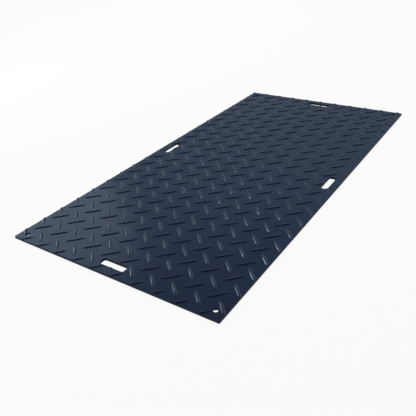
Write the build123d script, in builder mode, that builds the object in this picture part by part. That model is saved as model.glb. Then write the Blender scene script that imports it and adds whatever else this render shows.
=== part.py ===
import os
from math import ceil

from build123d import *

# A ground protection mat: one moulded polyethylene sheet with a raised tread on its top face.
# Sizes are in millimetres and angles in degrees. X runs along the short side, Y along the long side
# and Z up, from the middle of the underside.

# The sheet
mat_width = 1219.0
mat_length = 2438.0
base_thickness = 13.0
corner_radius = 5.0
edge_break = 1.2  # chamfer round the sheet's outer edges, top and bottom

# The hand slots, one in the middle of each side
slot_length = 145.0
slot_width = 40.0
slot_corner_radius = 10.0
end_slot_inset = 48.0  # short side to the slot's near edge
side_slot_inset = 42.0  # long side to the slot's near edge

# The corner holes, for pins or for bolting mats together
hole_radius = 12.5
hole_inset = 48.0  # each side to the hole's centre

# The tread: two crossed families of ribs, each on a square lattice half a pitch from the other's
tread_pitch = 118.4
first_rib_x = 64.5  # left side to the first rib of the forward family
first_rib_y = 8.0  # near side to the same rib
rib_lean = 45.0
rib_length = 100.0
rib_width = 16.0
rib_shoulder = 46.0  # length of the rib that has its full width
rib_height = 4.0
rib_crest_length = 70.0
rib_crest_width = 6.0

# Places worked out from the sizes
end_slot_y = mat_length / 2 - end_slot_inset - slot_width / 2
side_slot_x = mat_width / 2 - side_slot_inset - slot_width / 2
hole_spacing_x = mat_width - 2 * hole_inset
hole_spacing_y = mat_length - 2 * hole_inset
full_height = base_thickness + rib_height


def rib_centres(lattice_shift):
    """The lattice points from which a rib can reach the sheet."""
    places = [
        (
            first_rib_x - mat_width / 2 + lattice_shift + column * tread_pitch,
            first_rib_y - mat_length / 2 + lattice_shift + row * tread_pitch,
        )
        for column in range(-1, ceil(mat_width / tread_pitch) + 2)
        for row in range(-1, ceil(mat_length / tread_pitch) + 2)
    ]
    reach = rib_length / 2
    return [
        (x, y)
        for x, y in places
        if abs(x) < mat_width / 2 + reach and abs(y) < mat_length / 2 + reach
    ]


# One rib: a lens drawn with straight sides, pointed at both ends, rising to a narrow flat crest
with BuildPart() as rib:
    tips = [(end * rib_length / 2, 0, 0) for end in (-1, 1)]
    shoulders = [(x * rib_shoulder / 2, y * rib_width / 2, 0) for x in (-1, 1) for y in (-1, 1)]
    crest = [
        (x * rib_crest_length / 2, y * rib_crest_width / 2, rib_height)
        for x in (-1, 1)
        for y in (-1, 1)
    ]
    ConvexPolyhedron(tips + shoulders + crest)

# The sheet's outline in plan
with BuildSketch() as outline:
    RectangleRounded(mat_width, mat_length, corner_radius)

# The slots and holes that go right through, in plan
with BuildSketch() as openings:
    with Locations((0, end_slot_y), (0, -end_slot_y)):
        RectangleRounded(slot_length, slot_width, slot_corner_radius)
    with Locations((side_slot_x, 0), (-side_slot_x, 0)):
        RectangleRounded(slot_width, slot_length, slot_corner_radius)
    with GridLocations(hole_spacing_x, hole_spacing_y, 2, 2):
        Circle(hole_radius)

# The tread, cut flush at the slots and holes and where the sheet's flat top ends at its sides
with BuildPart(Plane.XY.offset(base_thickness)) as tread:
    with Locations(*rib_centres(0)):
        add(rib.part, rotation=(0, 0, rib_lean))
    with Locations(*rib_centres(tread_pitch / 2)):
        add(rib.part, rotation=(0, 0, -rib_lean))
    with BuildSketch(Plane.XY):
        Rectangle(mat_width + 2 * rib_length, mat_length + 2 * rib_length)
        offset(outline.sketch, amount=-edge_break, mode=Mode.SUBTRACT)
        add(openings.sketch)
    extrude(amount=2 * full_height, mode=Mode.SUBTRACT)

# The mat: the sheet with its outer edges broken and its openings cut, and the tread standing on it
with BuildPart() as ground_mat:
    add(outline.sketch)
    extrude(amount=base_thickness)
    chamfer(ground_mat.faces().filter_by(Axis.Z).edges(), length=edge_break)
    add(openings.sketch)
    extrude(amount=base_thickness, mode=Mode.SUBTRACT)
    add(tread.part)

ground_mat.part.label = "ground_mat"

os.makedirs("parts", exist_ok=True)
export_step(ground_mat.part, "parts/ground_mat.step", write_pcurves=False)
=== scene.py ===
from collections import Counter
from math import cos, pi, radians, sin

import bmesh
import bpy
from mathutils import Matrix, Vector


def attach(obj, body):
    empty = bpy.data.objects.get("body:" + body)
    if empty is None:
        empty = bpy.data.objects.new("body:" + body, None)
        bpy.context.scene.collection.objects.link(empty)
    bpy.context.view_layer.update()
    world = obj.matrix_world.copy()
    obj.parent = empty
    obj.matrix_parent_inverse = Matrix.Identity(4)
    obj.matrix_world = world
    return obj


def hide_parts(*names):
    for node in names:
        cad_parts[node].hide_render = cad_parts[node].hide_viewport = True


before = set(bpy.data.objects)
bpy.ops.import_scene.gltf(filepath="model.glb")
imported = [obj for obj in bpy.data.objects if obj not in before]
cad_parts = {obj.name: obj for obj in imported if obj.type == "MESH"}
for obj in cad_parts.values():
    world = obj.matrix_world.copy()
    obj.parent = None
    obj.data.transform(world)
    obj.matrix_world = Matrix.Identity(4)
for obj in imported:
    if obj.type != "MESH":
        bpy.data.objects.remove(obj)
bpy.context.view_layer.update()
scene = bpy.context.scene


# Camera: where the picture was taken from, worked out from the mat's four corners and its tread lattice
viewpoint = {
    "location": (1.4311, -2.3598, 1.3525),
    "turnedLeft": 35.09,  # degrees from the mat's long direction
    "lookingDown": 30.79,
    "roll": -3.86,
    "lens": 43.26,  # millimetres, as is the sensor
    "sensorWidth": 36.0,
    "shiftPixels": 8.0,  # the optical axis lies this far right of the frame's middle
    "framePixels": 416,
    "farthest": 200.0,
}

camera = bpy.data.objects.new("photoCamera", bpy.data.cameras.new("photoCamera"))
scene.collection.objects.link(camera)
camera.matrix_world = (
    Matrix.Translation(viewpoint["location"])
    @ Matrix.Rotation(radians(viewpoint["turnedLeft"]), 4, "Z")
    @ Matrix.Rotation(radians(90 - viewpoint["lookingDown"]), 4, "X")
    @ Matrix.Rotation(radians(viewpoint["roll"]), 4, "Z")
)
camera.data.sensor_width = viewpoint["sensorWidth"]
camera.data.lens = viewpoint["lens"]
camera.data.shift_x = -viewpoint["shiftPixels"] / viewpoint["framePixels"]
camera.data.clip_end = viewpoint["farthest"]
scene.camera = camera
print("camera placed")


def toLinear(hexColour):
    # sRGB hex to linear RGBA
    channels = [int(hexColour[i : i + 2], 16) / 255 for i in (1, 3, 5)]
    return [c / 12.92 if c <= 0.04045 else ((c + 0.055) / 1.055) ** 2.4 for c in channels] + [1.0]


def addNode(tree, kind, feeds=None, **settings):
    # feeds maps an input's name or number to a value or to another node's output
    node = tree.nodes.new(kind)
    for name, value in settings.items():
        setattr(node, name, value)
    for key, value in (feeds or {}).items():
        if isinstance(value, bpy.types.NodeSocket):
            tree.links.new(value, node.inputs[key])
        else:
            node.inputs[key].default_value = value
    return node


# High-density polyethylene, compression moulded and left as it comes out of the mould: a dyed-through
# navy with a waxy satin sheen, a fine grain from the mould's blasted face and slow waves from shrinkage
mouldedFinish = {
    "deepColour": "#1c243f",
    "paleColour": "#242d4b",  # where the resin's dye is a little thinner
    "sheenTint": (0.74, 0.88, 1.0, 1.0),
    "sheenLevel": 0.5,
    "ior": 1.54,
    "smoothest": 0.19,
    "roughest": 0.25,
    "blotches": {"size": 0.12, "stretch": (1.0, 1.0, 1.0)},
    # the sheet's own unevenness, a hand's breadth and more across
    "waves": {"size": 0.30, "stretch": (1.0, 1.0, 1.0), "depth": 0.0010},
    # real grain is about 0.5 mm, too fine to show, so it's drawn twelve times coarser
    "grain": {"size": 0.006, "stretch": (1.0, 1.0, 1.0), "depth": 0.00004},
}

# The same polyethylene where the sheet was sawn to size and its slots and holes were milled: the cutter
# tears it matt and leaves faint marks along the cut. Its colours are painted darker than the moulded
# faces', as painted shade on the walls
sawnAndShadedFinish = {
    # painted shade: both colours are darker than the moulded ones, so the walls read as shaded
    "deepColour": "#121b31",
    "paleColour": "#18243c",
    "sheenTint": (0.70, 0.87, 1.0, 1.0),
    "sheenLevel": 0.2,
    "ior": 1.54,
    "smoothest": 0.55,
    "roughest": 0.75,
    "blotches": {"size": 0.05, "stretch": (1.0, 1.0, 1.0)},
    # marks 0.75 mm apart, drawn three times coarser than a saw's
    "grain": {"size": 0.006, "stretch": (1.0, 1.0, 8.0), "depth": 0.00010},
}

# how busy each pattern's noise is
noiseCharacter = {
    "blotches": {"Detail": 4.0, "Roughness": 0.55},
    "waves": {"Detail": 1.0, "Roughness": 0.4},
    "grain": {"Detail": 2.0, "Roughness": 0.6},
}
noiseRange = (0.3, 0.7)  # nearly all of a noise's values lie between these


def makeHdpe(name, finish):
    material = bpy.data.materials.new(name)
    material.use_nodes = True
    tree = material.node_tree
    tree.nodes.clear()
    place = addNode(tree, "ShaderNodeTexCoord").outputs["Object"]
    noises = {}
    for pattern, character in noiseCharacter.items():
        if pattern in finish:
            look = finish[pattern]
            laid = addNode(tree, "ShaderNodeMapping", {"Vector": place, "Scale": look["stretch"]})
            feeds = {"Vector": laid.outputs[0], "Scale": 1 / look["size"], **character}
            noises[pattern] = addNode(tree, "ShaderNodeTexNoise", feeds).outputs["Fac"]
    relief = {}
    for pattern in ("waves", "grain"):
        if pattern in finish:
            feeds = {"Distance": finish[pattern]["depth"], "Height": noises[pattern], **relief}
            bump = addNode(tree, "ShaderNodeBump", {"Strength": 1.0, **feeds})
            relief = {"Normal": bump.outputs["Normal"]}
    colour = addNode(
        tree,
        "ShaderNodeMix",
        {
            "Factor": noises["blotches"],
            6: toLinear(finish["deepColour"]),
            7: toLinear(finish["paleColour"]),
        },
        data_type="RGBA",
    )
    roughness = addNode(
        tree,
        "ShaderNodeMapRange",
        {
            "Value": noises["blotches"],
            "From Min": noiseRange[0],
            "From Max": noiseRange[1],
            "To Min": finish["smoothest"],
            "To Max": finish["roughest"],
        },
    )
    skin = addNode(
        tree,
        "ShaderNodeBsdfPrincipled",
        {
            "Base Color": colour.outputs[2],
            "Metallic": 0.0,
            "Roughness": roughness.outputs["Result"],
            "IOR": finish["ior"],
            "Specular IOR Level": finish["sheenLevel"],
            "Specular Tint": finish["sheenTint"],
            **relief,
        },
    )
    addNode(tree, "ShaderNodeOutputMaterial", {"Surface": skin.outputs["BSDF"]})
    return material


mouldedHdpe = makeHdpe("mouldedHdpe", mouldedFinish)
sawnAndShadedHdpe = makeHdpe("sawnAndShadedHdpe", sawnAndShadedFinish)
print("materials made: moulded and sawn HDPE")


# The sheet, in metres: a flat slab with softly rounded rims, four hand slots and four corner holes
sheetSizes = {
    "width": 1.219,
    "length": 2.438,
    "thickness": 0.013,
    "cornerRadius": 0.005,
    "rimRadius": 0.0012,
    "slotLength": 0.145,
    "slotWidth": 0.040,
    "slotCornerRadius": 0.010,
    "slotCornerSteps": 6,
    "endSlotInset": 0.048,  # short side to the slot's near edge
    "sideSlotInset": 0.042,  # long side to the slot's near edge
    "holeRadius": 0.0125,
    "holeCornerSteps": 10,  # to a quarter of the hole
    "holeInset": 0.048,  # each side to the hole's centre
    "openingRimRadius": 0.0008,
    "cutBelow": 0.010,  # how far the openings' cutters reach under the sheet and over it
    "cutAbove": 0.020,
}


def roundedOutline(centre, width, length, radius, grow=0.0, steps=6):
    # points of a rounded rectangle, counterclockwise, pushed outwards by grow
    corners = [(1, 1, 0), (-1, 1, 90), (-1, -1, 180), (1, -1, 270)]
    points = []
    for sideX, sideY, startAngle in corners:
        middleX = centre[0] + sideX * (width / 2 - radius)
        middleY = centre[1] + sideY * (length / 2 - radius)
        for step in range(steps + 1):
            angle = radians(startAngle + 90 * step / steps)
            reach = radius + grow
            points.append((middleX + reach * cos(angle), middleY + reach * sin(angle)))
    return points


def meshObject(name, mesh):
    data = bpy.data.meshes.new(name)
    mesh.to_mesh(data)
    mesh.free()
    piece = bpy.data.objects.new(name, data)
    scene.collection.objects.link(piece)
    return piece


def stackOutlines(name, rings):
    # a closed solid through outlines of equal length, each given with its height, lowest first
    mesh = bmesh.new()
    layers = [[mesh.verts.new((x, y, height)) for x, y in outline] for outline, height in rings]
    for lower, upper in zip(layers, layers[1:]):
        for i in range(len(lower)):
            j = (i + 1) % len(lower)
            mesh.faces.new((lower[i], lower[j], upper[j], upper[i]))
    mesh.faces.new(list(reversed(layers[0])))
    mesh.faces.new(layers[-1])
    return meshObject(name, mesh)


def rimSteps(radius, count=4):
    # (inset, rise) pairs round a quarter circle, from the face that it leaves to the wall
    return [
        (radius * (1 - sin(pi / 2 * i / count)), radius * (1 - cos(pi / 2 * i / count)))
        for i in range(count + 1)
    ]


def makeSlab(sizes):
    rims = rimSteps(sizes["rimRadius"])
    top = sizes["thickness"]
    rings = [(-inset, rise) for inset, rise in rims]
    rings += [(-inset, top - rise) for inset, rise in reversed(rims)]
    return stackOutlines(
        "matBody",
        [
            (roundedOutline((0, 0), sizes["width"], sizes["length"], sizes["cornerRadius"], grow), height)
            for grow, height in rings
        ],
    )


def makeOpeningCutter(name, sizes, centre, width, length, radius, steps):
    # flares at both faces so that the rims it leaves are rounded, and reaches above the tread
    flare = sizes["openingRimRadius"]
    rims = rimSteps(flare)
    top = sizes["thickness"]
    rings = [(flare, -sizes["cutBelow"])]
    rings += rims
    rings += [(inset, top - rise) for inset, rise in reversed(rims)]
    rings += [(flare, top + sizes["cutAbove"])]
    return stackOutlines(
        name,
        [(roundedOutline(centre, width, length, radius, grow, steps), height) for grow, height in rings],
    )


def makeOpeningCutters(sizes):
    endY = sizes["length"] / 2 - sizes["endSlotInset"] - sizes["slotWidth"] / 2
    sideX = sizes["width"] / 2 - sizes["sideSlotInset"] - sizes["slotWidth"] / 2
    holeX = sizes["width"] / 2 - sizes["holeInset"]
    holeY = sizes["length"] / 2 - sizes["holeInset"]
    long, short = sizes["slotLength"], sizes["slotWidth"]
    slotCorner = (sizes["slotCornerRadius"], sizes["slotCornerSteps"])
    radius = sizes["holeRadius"]
    hole = (2 * radius, 2 * radius, radius, sizes["holeCornerSteps"])
    cutters = []
    for side in (-1, 1):
        endPlace = (0, side * endY)
        sidePlace = (side * sideX, 0)
        cutters.append(makeOpeningCutter("endSlotCutter", sizes, endPlace, long, short, *slotCorner))
        cutters.append(makeOpeningCutter("sideSlotCutter", sizes, sidePlace, short, long, *slotCorner))
        for end in (-1, 1):
            holePlace = (side * holeX, end * holeY)
            cutters.append(makeOpeningCutter("holeCutter", sizes, holePlace, *hole))
    return cutters


# The tread, in metres: lens-shaped ribs in two crossed families, each on a square lattice
treadSizes = {
    "Pitch": 0.1184,
    "First Rib X": 0.0645 - sheetSizes["width"] / 2,  # 64.5 mm in from the left side
    "First Rib Y": 0.0080 - sheetSizes["length"] / 2,  # 8 mm in from the near side
    "Columns": 12,
    "Rows": 22,
    "Lean": radians(45),
    "Rib Length": 0.100,
    "Rib Width": 0.0160,
    "Rib Height": 0.0040,
    "Rib Sides": 12,  # faces round a rib, its hidden lower half included
    "Rib Rings": 9,  # and from tip to tip
    "Plan Fullness": 2.1,  # how late the rib narrows towards its tips
    "Crest Fullness": 3.2,  # how late its crest comes down there
    "Shoulder Start": 0.2,  # shares of half the width, between which the flat crest turns into a flank
    "Shoulder End": 0.6,
    "Draw Power": 5.5,  # the section's points are drawn in towards its middle, to 0.6 of their place
    "Draw Gain": 0.4,
    "Draw Least": 0.6,
    "Sunk": 0.0002,  # how far the rib's foot goes into the sheet
    "Sheet Top": sheetSizes["thickness"],
}


def makeTreadTree(sizes):
    tree = bpy.data.node_groups.new("treadRibs", "GeometryNodeTree")
    tree.is_modifier = True
    tree.interface.new_socket("Geometry", in_out="OUTPUT", socket_type="NodeSocketGeometry")
    for name, value in sizes.items():
        kind = "NodeSocketInt" if isinstance(value, int) else "NodeSocketFloat"
        tree.interface.new_socket(name, in_out="INPUT", socket_type=kind)
    tree.interface.new_socket("Material", in_out="INPUT", socket_type="NodeSocketMaterial")
    given = tree.nodes.new("NodeGroupInput").outputs

    def maths(operation, *values):
        return addNode(tree, "ShaderNodeMath", dict(enumerate(values)), operation=operation).outputs[0]

    # one rib: a ball with its poles at the rib's tips, pulled into a lens with a nearly flat crest
    ball = addNode(
        tree,
        "GeometryNodeMeshUVSphere",
        {"Segments": given["Rib Sides"], "Rings": given["Rib Rings"], "Radius": 1.0},
    )
    onSide = addNode(
        tree, "GeometryNodeTransform", {"Geometry": ball.outputs["Mesh"], "Rotation": (0, pi / 2, 0)}
    )
    place = addNode(tree, "GeometryNodeInputPosition").outputs[0]
    at = addNode(tree, "ShaderNodeSeparateXYZ", {0: place}).outputs
    along, across, up = at["X"], at["Y"], at["Z"]
    alongSquared = maths("MULTIPLY", along, along)
    leastSquare = 0.000001  # keeps the division finite at the poles
    ring = maths("SQRT", maths("MAXIMUM", maths("SUBTRACT", 1.0, alongSquared), leastSquare))
    evenShare = maths("DIVIDE", across, ring)
    lens = maths("SUBTRACT", 1.0, maths("POWER", alongSquared, given["Plan Fullness"]))
    rise = maths("SUBTRACT", 1.0, maths("POWER", alongSquared, given["Crest Fullness"]))
    # across, the rib has a nearly flat crest, rounded shoulders and straight flanks; the points that make
    # its section are drawn in towards the shoulders
    nearFoot = maths("POWER", maths("MULTIPLY", evenShare, evenShare), given["Draw Power"])
    drawnIn = maths("MULTIPLY_ADD", nearFoot, given["Draw Gain"], given["Draw Least"])
    share = maths("MULTIPLY", evenShare, drawnIn)
    shoulder = addNode(
        tree,
        "ShaderNodeMapRange",
        {
            "Value": maths("ABSOLUTE", share),
            "From Min": given["Shoulder Start"],
            "From Max": given["Shoulder End"],
        },
        interpolation_type="SMOOTHSTEP",
    ).outputs["Result"]
    drop = maths("MULTIPLY", maths("MULTIPLY", share, share), shoulder)
    crown = maths("SUBTRACT", 1.0, drop)
    fullRise = maths("ADD", given["Rib Height"], given["Sunk"])
    depth = maths("MULTIPLY", maths("MULTIPLY", rise, crown), fullRise)
    # the lower half only has to close the shape, inside the sheet
    buried = 0.3  # its height over the upper half's
    upOrDown = maths("MULTIPLY_ADD", maths("SIGN", up), (1 + buried) / 2, (1 - buried) / 2)
    height = maths("MULTIPLY", depth, upOrDown)
    halfLength = maths("MULTIPLY", given["Rib Length"], 0.5)
    halfWidth = maths("MULTIPLY", given["Rib Width"], 0.5)
    shaped = addNode(
        tree,
        "ShaderNodeCombineXYZ",
        {
            "X": maths("MULTIPLY", along, halfLength),
            "Y": maths("MULTIPLY", maths("MULTIPLY", share, lens), halfWidth),
            "Z": maths("SUBTRACT", height, given["Sunk"]),
        },
    )
    rib = addNode(
        tree, "GeometryNodeSetPosition", {"Geometry": onSide.outputs[0], "Position": shaped.outputs[0]}
    )

    # the two lattices, the second half a pitch from the first and leaning the other way
    families = addNode(tree, "GeometryNodeJoinGeometry")
    spanX = maths("MULTIPLY", given["Pitch"], maths("SUBTRACT", given["Columns"], 1))
    spanY = maths("MULTIPLY", given["Pitch"], maths("SUBTRACT", given["Rows"], 1))
    for shift, lean in ((0.0, 1.0), (0.5, -1.0)):
        lattice = addNode(
            tree,
            "GeometryNodeMeshGrid",
            {"Size X": spanX, "Size Y": spanY, "Vertices X": given["Columns"], "Vertices Y": given["Rows"]},
        )
        step = maths("MULTIPLY", given["Pitch"], shift - 1.0)  # one row and column start off the sheet
        startX = maths("ADD", given["First Rib X"], step)
        startY = maths("ADD", given["First Rib Y"], step)
        middle = addNode(
            tree,
            "ShaderNodeCombineXYZ",
            {
                "X": maths("ADD", startX, maths("MULTIPLY", spanX, 0.5)),
                "Y": maths("ADD", startY, maths("MULTIPLY", spanY, 0.5)),
                "Z": given["Sheet Top"],
            },
        )
        placed = addNode(
            tree,
            "GeometryNodeTransform",
            {"Geometry": lattice.outputs["Mesh"], "Translation": middle.outputs[0]},
        )
        turn = addNode(tree, "ShaderNodeCombineXYZ", {"Z": maths("MULTIPLY", given["Lean"], lean)})
        ribs = addNode(
            tree,
            "GeometryNodeInstanceOnPoints",
            {"Points": placed.outputs[0], "Instance": rib.outputs[0], "Rotation": turn.outputs[0]},
        )
        tree.links.new(ribs.outputs[0], families.inputs[0])
    real = addNode(tree, "GeometryNodeRealizeInstances", {"Geometry": families.outputs[0]})
    dressed = addNode(
        tree, "GeometryNodeSetMaterial", {"Geometry": real.outputs[0], "Material": given["Material"]}
    )
    addNode(tree, "NodeGroupOutput", {"Geometry": dressed.outputs[0]})
    return tree


def bake(piece, name):
    # the modifiers' result as a plain mesh
    evaluated = piece.evaluated_get(bpy.context.evaluated_depsgraph_get())
    result = bpy.data.meshes.new_from_object(evaluated)
    result.name = name
    piece.modifiers.clear()
    piece.data = result


def makeTread(sizes):
    tread = meshObject("tread", bmesh.new())
    growth = tread.modifiers.new("treadRibs", "NODES")
    growth.node_group = makeTreadTree(sizes)
    for item in growth.node_group.interface.items_tree:
        if item.in_out == "INPUT":
            growth[item.identifier] = mouldedHdpe if item.name == "Material" else sizes[item.name]
    bake(tread, "tread")
    return tread


def makeTrimmer(sizes, bottom=0.004, top=0.040):
    # the ribs stop where the sheet's flat top ends at its sides
    flatTop = roundedOutline(
        (0, 0), sizes["width"], sizes["length"], sizes["cornerRadius"], -sizes["rimRadius"]
    )
    return stackOutlines("treadTrimmer", [(flatTop, bottom), (flatTop, top)])


def combine(piece, other, operation):
    cut = piece.modifiers.new(operation, "BOOLEAN")
    cut.operation = operation
    cut.object = other
    cut.solver = "MANIFOLD"


body = makeSlab(sheetSizes)
print("sheet made:", len(body.data.polygons), "faces")

tread = makeTread(treadSizes)
print("tread made:", len(tread.data.polygons), "faces")

trimmer = makeTrimmer(sheetSizes)
combine(tread, trimmer, "INTERSECT")
bpy.context.view_layer.update()
bake(tread, "treadTrimmed")
combine(body, tread, "UNION")
cutters = makeOpeningCutters(sheetSizes)
for cutter in cutters:
    combine(body, cutter, "DIFFERENCE")
bpy.context.view_layer.update()
bake(body, "matBody")
for tool in [tread, trimmer] + cutters:
    bpy.data.objects.remove(tool)
print("tread joined and openings cut:", len(body.data.polygons), "faces")


# Which faces are shaded together, and which are walls
faceRules = {
    "sharpAngle": 60,  # degrees between two faces, from which their edge stays crisp
    "levelNormal": 0.999,  # the least upward part of a normal on the sheet's flat top
    "wallNormal": 0.05,  # and the most on a wall
    "tolerance": 0.00001,
    "largestFaceWeight": 100,  # a wide face keeps its own normal, right up to its edges
}


def smoothFaces(piece, sheetTop, rules):
    # smooth rims and crests, a crisp line round each rib's foot, and wide flat faces left exactly flat
    mesh = piece.data
    mesh.polygons.foreach_set("use_smooth", [True] * len(mesh.polygons))
    mesh.set_sharp_from_angle(angle=radians(rules["sharpAngle"]))
    levelSides = Counter(
        key
        for face in mesh.polygons
        if face.normal.z > rules["levelNormal"] and abs(face.center.z - sheetTop) < rules["tolerance"]
        for key in set(face.edge_keys)
    )
    for edge in mesh.edges:
        if levelSides[edge.key] == 1:
            edge.use_edge_sharp = True
    sheet = piece.vertex_groups.new(name="sheet")
    highest = sheetTop + rules["tolerance"]
    sheet.add([vertex.index for vertex in mesh.vertices if vertex.co.z < highest], 1.0, "REPLACE")
    weighting = piece.modifiers.new("flatFacesFirst", "WEIGHTED_NORMAL")
    weighting.mode = "FACE_AREA"
    weighting.weight = rules["largestFaceWeight"]
    weighting.keep_sharp = True
    weighting.vertex_group = sheet.name
    bpy.context.view_layer.update()
    bake(piece, piece.name)
    piece.vertex_groups.clear()


smoothFaces(body, sheetSizes["thickness"], faceRules)
body.data.materials.clear()
body.data.materials.append(mouldedHdpe)
body.data.materials.append(sawnAndShadedHdpe)
# the walls take the sawn material, matt and with its darker colours as painted shade
wallFaces = [int(abs(face.normal.z) < faceRules["wallNormal"]) for face in body.data.polygons]
body.data.polygons.foreach_set("material_index", wallFaces)
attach(body, "root")
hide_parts("ground_mat")
print("mat finished:", len(body.data.polygons), "faces")


# Floor: seamless white paper. It reads white to the camera and keeps a soft shadow under the mat
floorLook = {"size": 60.0, "drop": 0.0004, "paperColour": "#f7f7f7", "shadowShare": 0.08}


def makeFloor(look):
    mesh = bmesh.new()
    bmesh.ops.create_grid(mesh, x_segments=1, y_segments=1, size=look["size"] / 2)
    floor = meshObject("studioFloor", mesh)
    floor.data.transform(Matrix.Translation((0, 0, -look["drop"])))
    material = bpy.data.materials.new("whitePaper")
    material.use_nodes = True
    tree = material.node_tree
    tree.nodes.clear()
    ray = addNode(tree, "ShaderNodeLightPath").outputs
    seen = ray["Is Camera Ray"]
    for kind in ("Is Glossy Ray", "Is Transmission Ray"):
        seen = addNode(tree, "ShaderNodeMath", {0: seen, 1: ray[kind]}, operation="MAXIMUM").outputs[0]
    share = addNode(tree, "ShaderNodeMath", {0: seen, 1: 1 - look["shadowShare"]}, operation="MULTIPLY")
    paper = addNode(tree, "ShaderNodeBsdfDiffuse", {"Color": toLinear(look["paperColour"])})
    glow = addNode(tree, "ShaderNodeEmission", {"Color": (1, 1, 1, 1), "Strength": 1.0})
    both = addNode(
        tree, "ShaderNodeMixShader", {0: share.outputs[0], 1: paper.outputs[0], 2: glow.outputs[0]}
    )
    addNode(tree, "ShaderNodeOutputMaterial", {"Surface": both.outputs[0]})
    floor.data.materials.append(material)


makeFloor(floorLook)

# Light: a large key high at the back left that gives the colours their level, a wide dim wash at the left
# for the sheen of the near corner, a brighter box beside it that draws the ribs' flanks, and a room that is
# white up to a little above the floor, then pale grey, with a dim ceiling. All boxes face the mat's middle
studioLight = {
    "keyBox": {
        "at": (-4.5, 4.5, 7.0),
        "size": (5.0, 5.0),
        "watts": 450.0,
        "colour": "#ffffff",
        "inReflections": False,
    },
    "washBox": {
        "at": (-3.35, 0.70, 2.10),
        "size": (2.2, 1.4),
        "watts": 6.0,
        "colour": "#e4f2ff",
        "inReflections": True,
    },
    "flankBox": {
        "at": (-3.90, -0.40, 2.10),
        "size": (1.4, 0.8),
        "watts": 34.0,
        "colour": "#e4f2ff",
        "inReflections": True,
    },
}
roomLook = [
    # sine of the height above the horizon, and the room's colour there
    (0.15, "#fafafa"),
    (0.24, "#68777f"),
    (0.33, "#6a7a82"),
    (0.47, "#92a9b6"),
    (0.62, "#74838f"),
    (0.85, "#2c3238"),
]


def makeSoftBox(name, settings):
    lamp = bpy.data.lights.new(name, "AREA")
    lamp.shape = "RECTANGLE"
    lamp.size, lamp.size_y = settings["size"]
    lamp.energy = settings["watts"]
    lamp.color = toLinear(settings["colour"])[:3]
    box = bpy.data.objects.new(name, lamp)
    box.visible_glossy = settings["inReflections"]
    scene.collection.objects.link(box)
    facing = Vector(settings["at"]).to_track_quat("Z", "Y").to_matrix().to_4x4()
    box.matrix_world = Matrix.Translation(settings["at"]) @ facing


def makeRoom(look):
    room = bpy.data.worlds.new("studioRoom")
    room.use_nodes = True
    tree = room.node_tree
    tree.nodes.clear()
    direction = addNode(tree, "ShaderNodeTexCoord").outputs["Generated"]
    up = addNode(tree, "ShaderNodeSeparateXYZ", {0: direction}).outputs["Z"]
    walls = addNode(tree, "ShaderNodeValToRGB", {"Fac": up})
    stops = walls.color_ramp.elements
    while len(stops) < len(look):
        stops.new(1.0)
    for stop, (height, hexColour) in zip(stops, look):
        stop.position = height
        stop.color = toLinear(hexColour)
    light = addNode(tree, "ShaderNodeBackground", {"Color": walls.outputs["Color"], "Strength": 1.0})
    addNode(tree, "ShaderNodeOutputWorld", {"Surface": light.outputs[0]})
    scene.world = room


for boxName, boxSettings in studioLight.items():
    makeSoftBox(boxName, boxSettings)
makeRoom(roomLook)
scene.view_settings.view_transform = "Standard"
print("floor and light made")
